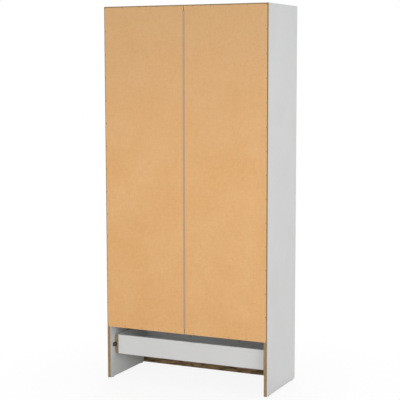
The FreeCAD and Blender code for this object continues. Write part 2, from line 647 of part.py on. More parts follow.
def make_hinges(model, side):
    """Three butt hinges in the gap beside a door: the leaves on the frame and on the door, and the pins."""
    d, p = model.d, model.p
    face = inner_face(p, side)
    edge = hinge_edge_of(d, p, side)
    thick = d.hinge_leaf_thickness
    frame_x = run_from(face, INWARD[side], thick)
    door_x = run_from(edge, -INWARD[side], thick)
    axis_x, axis_y = (face + edge) / 2, -d.hinge_axis_front
    knuckle = Disc(axis_x, axis_y, d.hinge_knuckle_diameter)
    bore = Disc(axis_x, axis_y, d.hinge_pin_diameter + d.hinge_pin_play * 2)
    middle = d.hinge_middle_knuckle
    outer = (d.hinge_length - middle) / 2 - d.hinge_knuckle_gap
    lows = [level - d.hinge_length / 2 for level in p.hinge_levels]
    door_leaf_depth = d.door_thickness - d.hinge_leaf_rear_gap

    frame = Piece(model, f"hinge_frame_leaves_{side}", p.floor, p.front, p.floor)
    door = Piece(model, f"hinge_door_leaves_{side}", p.floor, p.front, p.floor)
    pins = Piece(model, f"hinge_pins_{side}", p.floor, p.front, p.floor)
    for low in lows:
        frame.add("Z", low, d.hinge_length, Oblong(frame_x, p.front, thick, d.hinge_frame_leaf_depth))
        door.add("Z", low, d.hinge_length, Oblong(door_x, p.front, thick, door_leaf_depth))
        high = low + d.hinge_length
        runs = [(frame, frame_x, low, outer), (frame, frame_x, high - outer, outer)]
        runs.append((door, door_x, low + (d.hinge_length - middle) / 2, middle))
        for leaf, leaf_x, start, length in runs:
            neck = Oblong(leaf_x, axis_y, thick, d.hinge_axis_front)
            leaf.add("Z", start, length, neck)
            leaf.add("Z", start, length, knuckle)
            leaf.cut("Z", start, length, bore)
        pins.add("Z", low, d.hinge_length, Disc(axis_x, axis_y, d.hinge_pin_diameter))
        pin_head = Disc(axis_x, axis_y, d.hinge_pin_head_diameter)
        for start in (low - d.hinge_pin_head_height, high):
            pins.add("Z", start, d.hinge_pin_head_height, pin_head)

    fasten_leaves(model, frame, f"hinge_frame_screws_{side}", face, INWARD[side])
    fasten_leaves(model, door, f"hinge_door_screws_{side}", edge, -INWARD[side])


def fasten_leaves(model, leaves, name, wood, way):
    """Screw holes with sunk heads in the leaves, and their screws; way leads from the wood to the gap."""
    d, p = model.d, model.p
    thick, head = d.hinge_leaf_thickness, d.hinge_screw_head_height
    seat = wood + (thick - head) * way

    def discs(diameter):
        return [Disc(row, level, diameter) for row, level in p.hinge_screws]

    leaves.cut("X", run_from(wood, way, thick), thick, *discs(d.screw_diameter + d.hole_fit))
    leaves.cut("X", run_from(seat, way, head), head, *discs(d.screw_head_diameter + d.hole_fit))
    screws = Piece(model, name, p.floor, p.front, p.floor)
    shank = d.screw_length + thick - head
    screws.add("X", run_from(seat, -way, shank), shank, *discs(d.screw_diameter))
    screws.add("X", run_from(seat, way, head), head, *discs(d.screw_head_diameter))


def make_catches(model):
    """Magnetic catches on the bottom and top panels, one above and one below for each door."""
    d, p = model.d, model.p
    housing_front = p.catch_front + d.magnet_proud
    catches = Piece(model, "magnetic_catches", p.floor, housing_front, p.floor)
    magnets = Piece(model, "catch_magnets", p.floor, p.catch_front, p.floor)
    screws = Piece(model, "catch_screws", p.floor, housing_front, p.floor)
    pocket_depth = d.magnet_depth - d.magnet_proud + d.hole_fit
    places = catch_screw_places(p)
    for panel_face, way in ((p.over_base, 1), (p.under_top, -1)):
        flange = d.catch_flange_thickness
        magnet_level = panel_face + p.strike_shift * way
        for middle in p.catch_middles.values():
            wide = Oblong(middle - d.catch_width / 2, housing_front, d.catch_width, d.catch_depth)
            catches.add("Z", run_from(panel_face, way, flange), flange, wide)
            body_left = middle - d.catch_body_width / 2
            narrow = Oblong(body_left, housing_front, d.catch_body_width, d.catch_depth)
            catches.add("Z", run_from(panel_face, way, d.catch_height), d.catch_height, narrow)
            left, low = middle - d.magnet_width / 2, magnet_level - d.magnet_height / 2
            magnet = Oblong(left, low, d.magnet_width, d.magnet_height)
            magnets.add("Y", p.catch_front, d.magnet_depth, magnet)
            fit = d.hole_fit / 2
            size = (d.magnet_width + d.hole_fit, d.magnet_height + d.hole_fit)
            catches.cut("Y", housing_front, pocket_depth, Oblong(left - fit, low - fit, *size))
        holes = [Disc(x, row, d.screw_diameter + d.hole_fit) for x, row in places]
        catches.cut("Z", run_from(panel_face, way, flange), flange, *holes)
        shank = flange + d.screw_length
        seat = panel_face + flange * way
        shanks = [Disc(x, row, d.screw_diameter) for x, row in places]
        screws.add("Z", run_from(seat, -way, shank), shank, *shanks)
        heads = [Disc(x, row, d.screw_head_diameter) for x, row in places]
        screws.add("Z", run_from(seat, way, d.screw_head_height), d.screw_head_height, *heads)


def make_strikes(model, side):
    """The steel plates on the inner face of a door that the magnets hold, each with one sunk screw."""
    d, p = model.d, model.p
    middle = p.catch_middles[side]
    plates = Piece(model, f"strike_plates_{side}", p.floor, d.door_thickness, p.floor)
    screws = Piece(model, f"strike_screws_{side}", p.floor, d.door_thickness, p.floor)
    left = middle - d.strike_width / 2
    levels = strike_levels(p)
    outlines = [Oblong(left, z - d.strike_height / 2, d.strike_width, d.strike_height) for z in levels]
    plates.add("Y", d.door_thickness, d.strike_thickness, *outlines)
    head = d.hinge_screw_head_height
    seat = d.door_thickness + d.strike_thickness - head
    holes = [Disc(middle, z, d.screw_diameter + d.hole_fit) for z in levels]
    plates.cut("Y", d.door_thickness, d.strike_thickness, *holes)
    sinks = [Disc(middle, z, d.screw_head_diameter + d.hole_fit) for z in levels]
    plates.cut("Y", seat, head, *sinks)
    shank = d.screw_length + d.strike_thickness - head
    screws.add("Y", seat - shank, shank, *[Disc(middle, z, d.screw_diameter) for z in levels])
    screws.add("Y", seat, head, *[Disc(middle, z, d.screw_head_diameter) for z in levels])


def bracket_screw_places(d, p):
    return [
        (middle + d.bracket_screw_pitch / 2 * way, start + d.bracket_depth / 2)
        for middle in p.rail_middles.values()
        for start in p.bracket_starts
        for way in (-1, 1)
    ]


def make_rails(model):
    """Two tubes under the hat shelf that run front to back, in rings that hang from the shelf."""
    d, p = model.d, model.p
    bore = d.rail_diameter - d.rail_wall * 2
    for side in SIDES:
        middle = p.rail_middles[side]
        rail = Piece(model, f"hanging_rail_{side}", middle, p.rail_front, p.rail_level)
        rail.add("Y", p.rail_front, p.rail_length, Disc(middle, p.rail_level, d.rail_diameter))
        rail.cut("Y", p.rail_front, p.rail_length, Disc(middle, p.rail_level, bore))

    middles = p.rail_middles.values()
    caps = Piece(model, "rail_end_caps", p.floor, p.front, p.floor)
    rims = [Disc(x, p.rail_level, d.rail_diameter + d.rail_cap_rim * 2) for x in middles]
    plugs = [Disc(x, p.rail_level, bore - d.hole_fit) for x in middles]
    for end, way in ((p.rail_front, -1), (p.rail_rear, 1)):
        caps.add("Y", run_from(end, way, d.rail_cap_thickness), d.rail_cap_thickness, *rims)
        caps.add("Y", run_from(end, -way, d.rail_cap_plug), d.rail_cap_plug, *plugs)

    brackets = Piece(model, "rail_brackets", p.floor, p.front, p.floor)
    flange = d.bracket_flange_thickness
    for start in p.bracket_starts:
        depth = d.bracket_depth
        for x in middles:
            wide = Oblong(x - d.bracket_flange_width / 2, start, d.bracket_flange_width, depth)
            brackets.add("Z", p.shelf_underside - flange, flange, wide)
            stem = Oblong(x - d.bracket_stem_width / 2, start, d.bracket_stem_width, depth)
            brackets.add("Z", p.rail_level, d.rail_drop, stem)
        rings = [Disc(x, p.rail_level, d.bracket_ring_diameter) for x in middles]
        brackets.add("Y", start, depth, *rings)
        bores = [Disc(x, p.rail_level, d.rail_diameter + d.hole_fit) for x in middles]
        brackets.cut("Y", start, depth, *bores)
    places = bracket_screw_places(d, p)
    holes = [Disc(x, row, d.screw_diameter + d.hole_fit) for x, row in places]
    brackets.cut("Z", p.shelf_underside - flange, flange, *holes)

    screws = Piece(model, "rail_bracket_screws", p.floor, p.front, p.floor)
    seat = p.shelf_underside - flange
    shanks = [Disc(x, row, d.screw_diameter) for x, row in places]
    screws.add("Z", seat, flange + d.screw_length, *shanks)
    heads = [Disc(x, row, d.screw_head_diameter) for x, row in places]
    screws.add("Z", seat - d.screw_head_height, d.screw_head_height, *heads)


def make_runners(model):
    """Plastic bars screwed to the side panels, each inside a groove of the drawer's side."""
    d, p = model.d, model.p
    screws = Piece(model, "runner_screws", p.floor, p.front, p.floor)
    recess = d.screw_head_height + d.end_fit
    places = [(row, p.runner_level) for row in p.runner_screw_rows]

    def discs(diameter):
        return [Disc(row, level, diameter) for row, level in places]

    for side in SIDES:
        face, way = inner_face(p, side), INWARD[side]
        left = run_from(face, way, p.runner_thickness)
        runner = Piece(model, f"drawer_runner_{side}", left, p.runner_front, p.runner_bottom)
        outline = Oblong(left, p.runner_front, p.runner_thickness, p.runner_length)
        runner.add("Z", p.runner_bottom, d.runner_height, outline)
        runner.cut("X", left, p.runner_thickness, *discs(d.screw_diameter + d.hole_fit))
        seat = face + (p.runner_thickness - recess) * way
        runner.cut("X", run_from(seat, way, recess), recess, *discs(d.screw_head_diameter + d.hole_fit))
        shank = d.screw_length + p.runner_thickness - recess
        screws.add("X", run_from(seat, -way, shank), shank, *discs(d.screw_diameter))
        head = d.screw_head_height
        screws.add("X", run_from(seat, way, head), head, *discs(d.screw_head_diameter))


def box_side(p, side):
    """The outer face of a drawer side."""
    return p.box_left if side == "left" else p.box_right


def make_drawer_sides(model):
    d, p = model.d, model.p
    screw_row = p.box_rear - d.drawer_board / 2
    for side in SIDES:
        outer, way = box_side(p, side), INWARD[side]
        inner = outer + d.drawer_board * way
        left = run_from(outer, way, d.drawer_board)
        board = Piece(model, f"drawer_side_{side}", left, p.box_front, p.box_base)
        outline = Oblong(left, p.box_front, d.drawer_board, p.box_depth)
        board.add("Z", p.box_base, d.drawer_box_height, outline)
        groove_left = run_from(outer, way, p.groove_depth)
        groove = Oblong(groove_left, p.groove_bottom, p.groove_depth, p.groove_height)
        board.cut("Y", p.box_front, p.box_depth, groove)
        sheet_slot = Oblong(
            run_from(inner, -way, d.drawer_sheet_groove),
            p.sheet_bottom,
            d.drawer_sheet_groove,
            d.drawer_sheet + d.hole_fit,
        )
        board.cut("Y", p.box_front, p.box_depth, sheet_slot)
        middle = (outer + inner) / 2
        channels = [Disc(middle, z, d.bolt_channel_diameter) for z in p.drawer_bolt_levels]
        board.cut("Y", p.box_front, d.cam_reach, *channels)
        cams = [Disc(p.box_front + d.cam_reach, z, d.cam_diameter) for z in p.drawer_bolt_levels]
        pocket = cam_depth(d, d.drawer_board)
        board.cut("X", run_from(inner, -way, pocket), pocket, *cams)
        holes = [Disc(screw_row, z, d.drawer_screw_diameter + d.hole_fit) for z in p.drawer_bolt_levels]
        board.cut("X", left, d.drawer_board, *holes)
        head = d.drawer_screw_head_height
        sink = d.drawer_screw_head_diameter + d.hole_fit
        sinks = [Disc(screw_row, z, sink) for z in p.drawer_bolt_levels]
        board.cut("X", run_from(outer, way, head), head, *sinks)


def make_drawer_back(model):
    d, p = model.d, model.p
    left = p.box_left + d.drawer_board
    width = p.box_right - p.box_left - d.drawer_board * 2
    row = p.box_rear - d.drawer_board
    back = Piece(model, "drawer_back", left, row, p.box_base)
    back.add("Z", p.box_base, d.drawer_box_height, Oblong(left, row, width, d.drawer_board))
    slot = Oblong(row, p.sheet_bottom, d.drawer_sheet_groove, d.drawer_sheet + d.hole_fit)
    back.cut("X", left, width, slot)
    depth = d.drawer_screw_length - d.drawer_board + d.end_fit
    middle = p.box_rear - d.drawer_board / 2
    holes = [Disc(middle, z, d.drawer_screw_diameter + d.hole_fit) for z in p.drawer_bolt_levels]
    for side in SIDES:
        face = box_side(p, side) + d.drawer_board * INWARD[side]
        back.cut("X", run_from(face, INWARD[side], depth), depth, *holes)


def make_drawer_sheet(model):
    """The hardboard bottom of the drawer, in grooves on all four sides."""
    d, p = model.d, model.p
    reach = d.drawer_sheet_groove - d.end_fit
    left = p.box_left + d.drawer_board - reach
    width = p.box_right - d.drawer_board + reach - left
    row = p.box_front - reach
    depth = p.box_rear - d.drawer_board + reach - row
    level = p.sheet_bottom + d.hole_fit / 2
    sheet = Piece(model, "drawer_bottom", left, row, level)
    sheet.add("Z", level, d.drawer_sheet, Oblong(left, row, width, depth))


def make_drawer_front(model):
    d, p = model.d, model.p
    left = p.inner_left + d.front_gap
    width = p.inner_width - d.front_gap * 2
    low, height = p.drawer_front_bottom, p.drawer_front_height
    front = Piece(model, "drawer_front", left, p.front, low)
    front.add("Z", low, height, Oblong(left, p.front, width, d.drawer_front_thickness))
    slot_left = p.box_left + d.drawer_board - d.drawer_sheet_groove
    slot_width = p.box_right - d.drawer_board + d.drawer_sheet_groove - slot_left
    slot = Oblong(slot_left, p.sheet_bottom, slot_width, d.drawer_sheet + d.hole_fit)
    front.cut("Y", p.box_front - d.drawer_sheet_groove, d.drawer_sheet_groove, slot)
    thread_depth = d.bolt_thread_length + d.end_fit
    bolts = [Disc(x, z, d.bolt_thread_diameter + d.hole_fit) for x, z in drawer_bolts(d, p)]
    front.cut("Y", p.box_front - thread_depth, thread_depth, *bolts)
    posts = [place for side in SIDES for place in drawer_handle_posts(d, p, side)]
    through = [Disc(x, z, d.handle_screw_diameter + d.hole_fit) for x, z in posts]
    front.cut("Y", p.front, d.drawer_front_thickness, *through)


def drawer_bolts(d, p):
    """Where cam bolts join the drawer's sides to its front."""
    middles = [box_side(p, side) + d.drawer_board / 2 * INWARD[side] for side in SIDES]
    return [(x, z) for x in middles for z in p.drawer_bolt_levels]


def make_drawer_fasteners(model):
    d, p = model.d, model.p
    bolts = Piece(model, "drawer_cam_bolts", p.floor, p.front, p.floor)
    threads = [Disc(x, z, d.bolt_thread_diameter) for x, z in drawer_bolts(d, p)]
    bolts.add("Y", p.box_front - d.bolt_thread_length, d.bolt_thread_length, *threads)
    shaft = d.cam_reach + d.bolt_tip
    bolts.add("Y", p.box_front, shaft, *[Disc(x, z, d.bolt_shaft_diameter) for x, z in drawer_bolts(d, p)])

    cams = Piece(model, "drawer_cams", p.floor, p.front, p.floor)
    screws = Piece(model, "drawer_back_screws", p.floor, p.front, p.floor)
    cam_row = p.box_front + d.cam_reach
    cam = cam_depth(d, d.drawer_board) - d.end_fit
    discs = [Disc(cam_row, z, d.cam_diameter - d.hole_fit) for z in p.drawer_bolt_levels]
    screw_row = p.box_rear - d.drawer_board / 2
    head = d.drawer_screw_head_height
    for side in SIDES:
        outer, way = box_side(p, side), INWARD[side]
        inner = outer + d.drawer_board * way
        cams.add("X", run_from(inner, -way, cam), cam, *discs)
        seat = outer + head * way
        shank = d.drawer_screw_length - head
        shanks = [Disc(screw_row, z, d.drawer_screw_diameter) for z in p.drawer_bolt_levels]
        screws.add("X", run_from(seat, way, shank), shank, *shanks)
        heads = [Disc(screw_row, z, d.drawer_screw_head_diameter) for z in p.drawer_bolt_levels]
        screws.add("X", run_from(outer, way, head), head, *heads)
    slot = d.cam_diameter / 2 + d.bolt_tip + d.end_fit
    channel = d.bolt_shaft_diameter + d.hole_fit * 2
    channels = [Disc(x, z, channel) for x, z in drawer_bolts(d, p)]
    cams.cut("Y", cam_row - d.cam_diameter / 2, slot, *channels)


def make_doors(model):
    d, p = model.d, model.p
    for side in SIDES:
        make_door(model, side)
        posts = handle_posts(d, p, side)
        make_handle(model, f"door_handle_{side}", posts, "Z")
        make_handle_screws(model, f"door_handle_screws_{side}", posts, d.door_thickness)
        make_hinges(model, side)
        make_strikes(model, side)


def make_drawer(model):
    d, p = model.d, model.p
    make_drawer_front(model)
    make_drawer_sides(model)
    make_drawer_back(model)
    make_drawer_sheet(model)
    make_drawer_fasteners(model)
    posts = []
    for side in SIDES:
        side_posts = drawer_handle_posts(d, p, side)
        make_handle(model, f"drawer_handle_{side}", side_posts, "X")
        posts += side_posts
    make_handle_screws(model, "drawer_handle_screws", posts, d.drawer_front_thickness)


def make_cabinet(model):
    for side in SIDES:
        make_side_panel(model, side)
    make_cross_panels(model)
    make_plinth(model)
    make_cabinet_joints(model)
    make_glides(model)
    make_back(model)
    make_rails(model)
    make_catches(model)
    make_runners(model)


def check_document(model):
    """Stops before anything is written if an object failed, a pocket cut nothing or a piece is unsound."""
    for item in model.doc.Objects:
        if "Invalid" in item.State or "Error" in item.State:
            raise RuntimeError(f"{item.Label} failed: {item.State}")
        if item.TypeId == "PartDesign::Pocket":
            removed = item.BaseFeature.Shape.Volume - item.Shape.Volume
            if removed < LEAST_CUT:
                raise RuntimeError(f"{item.Label} cuts nothing")
    for piece in model.pieces:
        shape = piece.body.Shape
        if shape.isNull() or not shape.isValid() or not shape.Solids:
            raise RuntimeError(f"{piece.body.Label} has no sound shape")
    if len(model.pieces) > MOST_FILES:
        raise RuntimeError(f"{len(model.pieces)} sub-parts are more than {MOST_FILES}")


def write_parts(model):
    os.makedirs("parts", exist_ok=True)
    for piece in model.pieces:
        piece.body.Shape.exportStep(f"parts/{piece.body.Label}.step")


def main():
    doc = FreeCAD.newDocument("wardrobe")
    model = SimpleNamespace(doc=doc, pieces=[])
    model.d = fill_sheet(doc)
    doc.recompute()
    model.p = derive_places(model.d)
    d, p = model.d, model.p
    model.origin = {
        "X": -p.middle,
        "Y": (d.handle_projection - p.rear - p.strip_rear_reach) / 2,
        "Z": Size.of(0),
    }
    make_cabinet(model)
    make_doors(model)
    make_drawer(model)
    doc.recompute()
    check_document(model)
    write_parts(model)
    print(f"wrote {len(model.pieces)} sub-parts")


main()
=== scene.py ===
"""Looks of the flat-pack wardrobe: white melamine boards, raw chipboard edges and a tan hardboard back."""

import json
import math

import bmesh
import bpy
import numpy as np
from mathutils import Matrix, Vector

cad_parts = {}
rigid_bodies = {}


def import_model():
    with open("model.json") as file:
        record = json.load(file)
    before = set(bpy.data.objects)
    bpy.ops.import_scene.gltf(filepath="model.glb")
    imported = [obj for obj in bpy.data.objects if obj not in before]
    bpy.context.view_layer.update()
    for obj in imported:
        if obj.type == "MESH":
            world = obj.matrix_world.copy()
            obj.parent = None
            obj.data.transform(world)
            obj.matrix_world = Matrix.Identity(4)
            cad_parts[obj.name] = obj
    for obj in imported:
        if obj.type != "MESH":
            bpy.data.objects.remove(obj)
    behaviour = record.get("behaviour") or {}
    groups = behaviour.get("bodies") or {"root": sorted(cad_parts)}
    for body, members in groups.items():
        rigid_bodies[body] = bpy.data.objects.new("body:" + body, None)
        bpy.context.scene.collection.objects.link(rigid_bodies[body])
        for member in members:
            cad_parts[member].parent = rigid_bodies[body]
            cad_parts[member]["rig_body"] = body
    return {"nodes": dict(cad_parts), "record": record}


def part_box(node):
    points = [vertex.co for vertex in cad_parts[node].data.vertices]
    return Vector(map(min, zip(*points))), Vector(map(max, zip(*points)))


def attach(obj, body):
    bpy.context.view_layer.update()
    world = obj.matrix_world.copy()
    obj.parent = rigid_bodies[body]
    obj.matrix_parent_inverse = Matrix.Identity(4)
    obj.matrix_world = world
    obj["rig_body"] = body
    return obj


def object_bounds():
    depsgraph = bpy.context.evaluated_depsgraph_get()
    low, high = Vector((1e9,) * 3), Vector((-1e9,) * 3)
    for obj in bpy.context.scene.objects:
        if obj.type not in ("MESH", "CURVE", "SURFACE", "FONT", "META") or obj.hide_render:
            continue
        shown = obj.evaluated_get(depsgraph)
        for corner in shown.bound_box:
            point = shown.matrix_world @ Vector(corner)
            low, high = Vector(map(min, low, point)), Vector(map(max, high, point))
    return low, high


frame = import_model()
cad_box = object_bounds()

MM = 0.001
SIDES = ("left", "right")
OBJECT_MIDDLE = (cad_box[0] + cad_box[1]) / 2


def srgb(red, green, blue):
    """A colour written as 0-255 screen values, as the linear colour that a shader reads."""

    def linear(value):
        share = value / 255
        return share / 12.92 if share <= 0.04045 else ((share + 0.055) / 1.055) ** 2.4

    return (linear(red), linear(green), linear(blue), 1.0)


def lightened(colour, share):
    """A linear colour mixed with white."""
    return tuple(part + share * (1.0 - part) for part in colour)


def darkened(colour, share):
    """A linear colour mixed with black."""
    return (*(part * (1.0 - share) for part in colour[:3]), 1.0)


WHITE = srgb(255, 255, 255)
MELAMINE = srgb(216, 217, 217)
MELAMINE_SHADE = srgb(213, 214, 213)
BAND_SEAM = srgb(188, 186, 181)
CHIP_DARK = srgb(88, 68, 47)
CHIP_MIDDLE = srgb(150, 124, 93)
CHIP_PALE = srgb(198, 172, 137)
CHIP_SURFACE = srgb(164, 137, 105)
STRAND_DARK = srgb(88, 69, 47)
STRAND_PALE = srgb(158, 129, 93)
HARDBOARD = srgb(224, 172, 112)
HARDBOARD_PALE = srgb(229, 180, 123)
# Painted shade: the greyer, darker tan given to the top of the back, standing in for less light up there.
HARDBOARD_SHADED_TOP = srgb(213, 171, 121)
HARDBOARD_FIBRE = srgb(190, 136, 80)
HARDBOARD_EDGE = srgb(112, 80, 52)
PAINTED = srgb(217, 217, 217)
PAINTED_THIN = srgb(215, 215, 214)
STRIP = srgb(187, 153, 126)
BEECH_DARK, BEECH_PALE = srgb(176, 132, 88), srgb(216, 178, 132)
ZINC, ZINC_DULL = srgb(206, 207, 204), srgb(170, 171, 168)
SATIN_STEEL, SATIN_STEEL_DULL = srgb(204, 203, 201), srgb(176, 175, 173)
CHROME, CHROME_DULL = srgb(226, 226, 228), srgb(210, 210, 213)
NAIL_STEEL, NAIL_STEEL_DULL = srgb(112, 106, 98), srgb(78, 73, 67)
FERRITE = srgb(62, 61, 63)
WHITE_PLASTIC = srgb(228, 227, 223)
DARK_PLASTIC = srgb(40, 40, 41)
FLOOR_DARK, FLOOR_PALE = srgb(232, 232, 231), srgb(238, 238, 237)


class Shader:
    """One material: a Principled shader, and short calls for the nodes that feed it."""

    def __init__(self, name, **values):
        self.material = bpy.data.materials.new(name)
        self.material.use_nodes = True
        self.tree = self.material.node_tree
        self.principled = self.tree.nodes["Principled BSDF"]
        for socket, value in values.items():
            self.set(socket, value)
        self.place = self.node("ShaderNodeTexCoord").outputs["Object"]
        separated = self.node("ShaderNodeSeparateXYZ", {"Vector": self.place})
        self.axes = dict(zip("XYZ", separated.outputs))

    def set(self, socket, value):
        self.feed(self.principled.inputs[socket.replace("_", " ")], value)

    def feed(self, socket, value):
        if isinstance(value, bpy.types.NodeSocket):
            self.tree.links.new(value, socket)
        else:
            socket.default_value = value

    def node(self, kind, inputs=(), **settings):
        made = self.tree.nodes.new(kind)
        for name, value in settings.items():
            setattr(made, name, value)
        for key, value in dict(inputs).items():
            self.feed(made.inputs[key], value)
        return made

    def math(self, operation, *values):
        return self.node("ShaderNodeMath", enumerate(values), operation=operation).outputs[0]

    def mix(self, share, first, second):
        """A mix of two colours: inputs 6 and 7 and output 2 of the Mix node are its colour sockets."""
        made = self.node("ShaderNodeMix", {0: share, 6: first, 7: second}, data_type="RGBA")
        return made.outputs[2]

    def blend(self, share, first, second):
        """A mix of two numbers: inputs 2 and 3 and output 0 of the Mix node."""
        return self.node("ShaderNodeMix", {0: share, 2: first, 3: second}).outputs[0]

    def spread(self, value, low, high, to_low=0.0, to_high=1.0):
        """Maps low..high to to_low..to_high, held at both ends."""
        inputs = {0: value, 1: low, 2: high, 3: to_low, 4: to_high}
        return self.node("ShaderNodeMapRange", inputs).outputs[0]

    def sum(self, *values_and_weights):
        """Adds values, each followed by its weight."""
        total = 0.0
        for value, weight in zip(values_and_weights[::2], values_and_weights[1::2]):
            total = self.math("MULTIPLY_ADD", value, weight, total)
        return total

    def stretched(self, x, y, z):
        """The place with each axis multiplied, so that a pattern is drawn out along the small ones."""
        made = self.node("ShaderNodeVectorMath", {0: self.place, 1: (x, y, z)}, operation="MULTIPLY")
        return made.outputs[0]

    def turned(self, turn, x, y, z):
        """The place turned about Y, in degrees, and then stretched."""
        inputs = {"Vector": self.place, "Rotation": (0.0, math.radians(turn), 0.0), "Scale": (x, y, z)}
        return self.node("ShaderNodeMapping", inputs).outputs[0]

    def ragged(self, place, scale, reach):
        """A place moved about at random, which gives the cells of a pattern ragged edges."""
        noise = self.node("ShaderNodeTexNoise", {"Vector": self.place, "Scale": scale, "Detail": 2.0})
        inputs = {0: noise.outputs["Color"], 1: (reach, reach, reach), 2: place}
        return self.node("ShaderNodeVectorMath", inputs, operation="MULTIPLY_ADD").outputs[0]

    def noise(self, scale, detail=2.0, place=None, distortion=0.0):
        inputs = {"Vector": place or self.place, "Scale": scale, "Detail": detail}
        inputs["Distortion"] = distortion
        return self.node("ShaderNodeTexNoise", inputs).outputs[0]

    def cells(self, scale, place=None):
        """A random grey for each cell, and the distance from its middle."""
        made = self.node("ShaderNodeTexVoronoi", {"Vector": place or self.place, "Scale": scale})
        grey = self.node("ShaderNodeSeparateColor", {0: made.outputs["Color"]}).outputs[0]
        return grey, made.outputs["Distance"]

    def bump(self, height, distance, strength=1.0, normal=None):
        inputs = {"Height": height, "Distance": distance, "Strength": strength}
        made = self.node("ShaderNodeBump", inputs)
        if normal:
            self.feed(made.inputs["Normal"], normal)
        return made.outputs[0]

    def near(self, planes, reach):
        """1 within reach of any of the planes, (axis, level) each, or else 0, and the way to the nearest."""
        nearest = None
        for axis, level in planes:
            away = self.math("ABSOLUTE", self.math("SUBTRACT", self.axes[axis], level))
            nearest = away if nearest is None else self.math("MINIMUM", nearest, away)
        return self.math("LESS_THAN", nearest, reach), nearest


def face_planes(node, faces):
    """(axis, level) for faces of a node's box, each named as +X or -X and so on."""
    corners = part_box(node)
    return [(face[1], corners[face[0] == "+"]["XYZ".index(face[1])]) for face in faces]


# Boards: white melamine on the faces and on the banded edges, raw chipboard where it was sawn or drilled.

FOIL = 0.35 * MM
BAND = 0.8 * MM
BAND_SEAM_WIDTH = 0.12 * MM
FLOOR_DARKENING_HEIGHT = 40 * MM
CHIP_FLATNESS = 2.2     # how much flatter than wide a chip lies in its board
STRAND_FACES = {"plinth": "+Y"}
STRAND_SLANT = 20.0     # degrees

# Boards that look alike, their melamine faces and their banded edges. All their other faces are raw.
BOARDS = (
    (("side_panel_left", "side_panel_right"), ("+X", "-X"), ("-Y", "+Z")),
    (("top_panel", "bottom_panel", "hat_shelf"), ("+Z", "-Z"), ("-Y",)),
    (("plinth",), ("-Y",), ("+Z",)),
    (("door_left", "door_right", "drawer_front"), ("+Y", "-Y"), ("+X", "-X", "+Z", "-Z")),
    (("drawer_side_left", "drawer_side_right"), ("+X", "-X"), ("+Z",)),
    (("drawer_back",), ("+Y", "-Y"), ("+Z",)),
)


def chipboard(shader, axis, middle, half):
    """Colour and height of sawn chipboard: coarse dark chips in the core, fine pale ones nearer the faces."""
    squeeze = {name: 1.0 for name in "XYZ"}
    squeeze[axis] = CHIP_FLATNESS
    flat = shader.stretched(*squeeze.values())
    place = shader.ragged(flat, 420.0, 5 * MM)
    depth = shader.math("ABSOLUTE", shader.math("SUBTRACT", shader.axes[axis], middle))
    core = shader.spread(depth, half * 0.55, half * 0.85, 1.0, 0.0)

    large, large_edge = shader.cells(300.0, place)
    small, small_edge = shader.cells(620.0, place)
    fine, fine_edge = shader.cells(1300.0, place)
    fibre = shader.noise(1500.0, 3.0, flat)
    core_tone = shader.sum(large, 0.4, small, 0.35, fibre, 0.25)
    core_colour = shader.mix(shader.spread(core_tone, 0.2, 0.8), CHIP_DARK, CHIP_PALE)
    core_colour = shader.mix(0.4, core_colour, CHIP_MIDDLE)
    skin_tone = shader.sum(fine, 0.5, fibre, 0.5)
    skin_colour = shader.mix(shader.spread(skin_tone, 0.2, 0.8, 0.0, 0.45), CHIP_SURFACE, CHIP_PALE)
    colour = shader.mix(core, skin_colour, core_colour)

    voids = shader.spread(shader.noise(700.0, 3.0, place), 0.34, 0.4, 1.0, 0.0)
    voids = shader.math("MULTIPLY", voids, core)
    # Painted shade: the voids are hollows between the chips, and darkening them stands in for the shade
    # inside them.
    colour = shader.mix(shader.math("MULTIPLY", voids, 0.7), colour, CHIP_DARK)
    drift = shader.noise(14.0, 3.0)
    colour = shader.mix(shader.spread(drift, 0.35, 0.7, 0.0, 0.3), colour, CHIP_SURFACE)

    height = shader.blend(core, fine_edge, shader.sum(large_edge, 0.5, small_edge, 1.0))
    return colour, shader.math("SUBTRACT", height, voids)


def coarse_strands(shader):
    """Colour and height of the plinth's unfinished rear face: long flat strands that lie aslant."""
    place = shader.turned(STRAND_SLANT, 0.25, 1.0, 1.0)
    grey, edge = shader.cells(95.0, place)
    fine = shader.noise(260.0, 4.0, place)
    tone = shader.sum(grey, 0.65, fine, 0.35)
    colour = shader.mix(shader.spread(tone, 0.15, 0.8), STRAND_DARK, STRAND_PALE)
    return colour, shader.math("SUBTRACT", edge, grey)


def melamine(shader, banded):
    """Colour, roughness and height of the white skin, with the seam beside each banded edge."""
    cloud = shader.noise(6.0, 3.0)
    colour = shader.mix(shader.spread(cloud, 0.35, 0.65), MELAMINE_SHADE, MELAMINE)
    if banded:
        _, away = shader.near(banded, BAND)
        off_seam = shader.math("ABSOLUTE", shader.math("SUBTRACT", away, BAND))
        seam = shader.spread(off_seam, 0.0, BAND_SEAM_WIDTH, 0.8, 0.0)
        colour = shader.mix(seam, colour, BAND_SEAM)
    # Darker grey in random patches over the lowest 40 mm of each board, towards the floor.
    near_floor = shader.spread(shader.axes["Z"], 0.0, FLOOR_DARKENING_HEIGHT, 0.35, 0.0)
    floor_darkening = shader.math("MULTIPLY", near_floor, shader.spread(shader.noise(45.0, 4.0), 0.4, 0.7))
    colour = shader.mix(floor_darkening, colour, BAND_SEAM)
    roughness = shader.spread(shader.noise(30.0, 3.0), 0.3, 0.7, 0.46, 0.56)
    return colour, roughness, shader.noise(1500.0, 2.0)


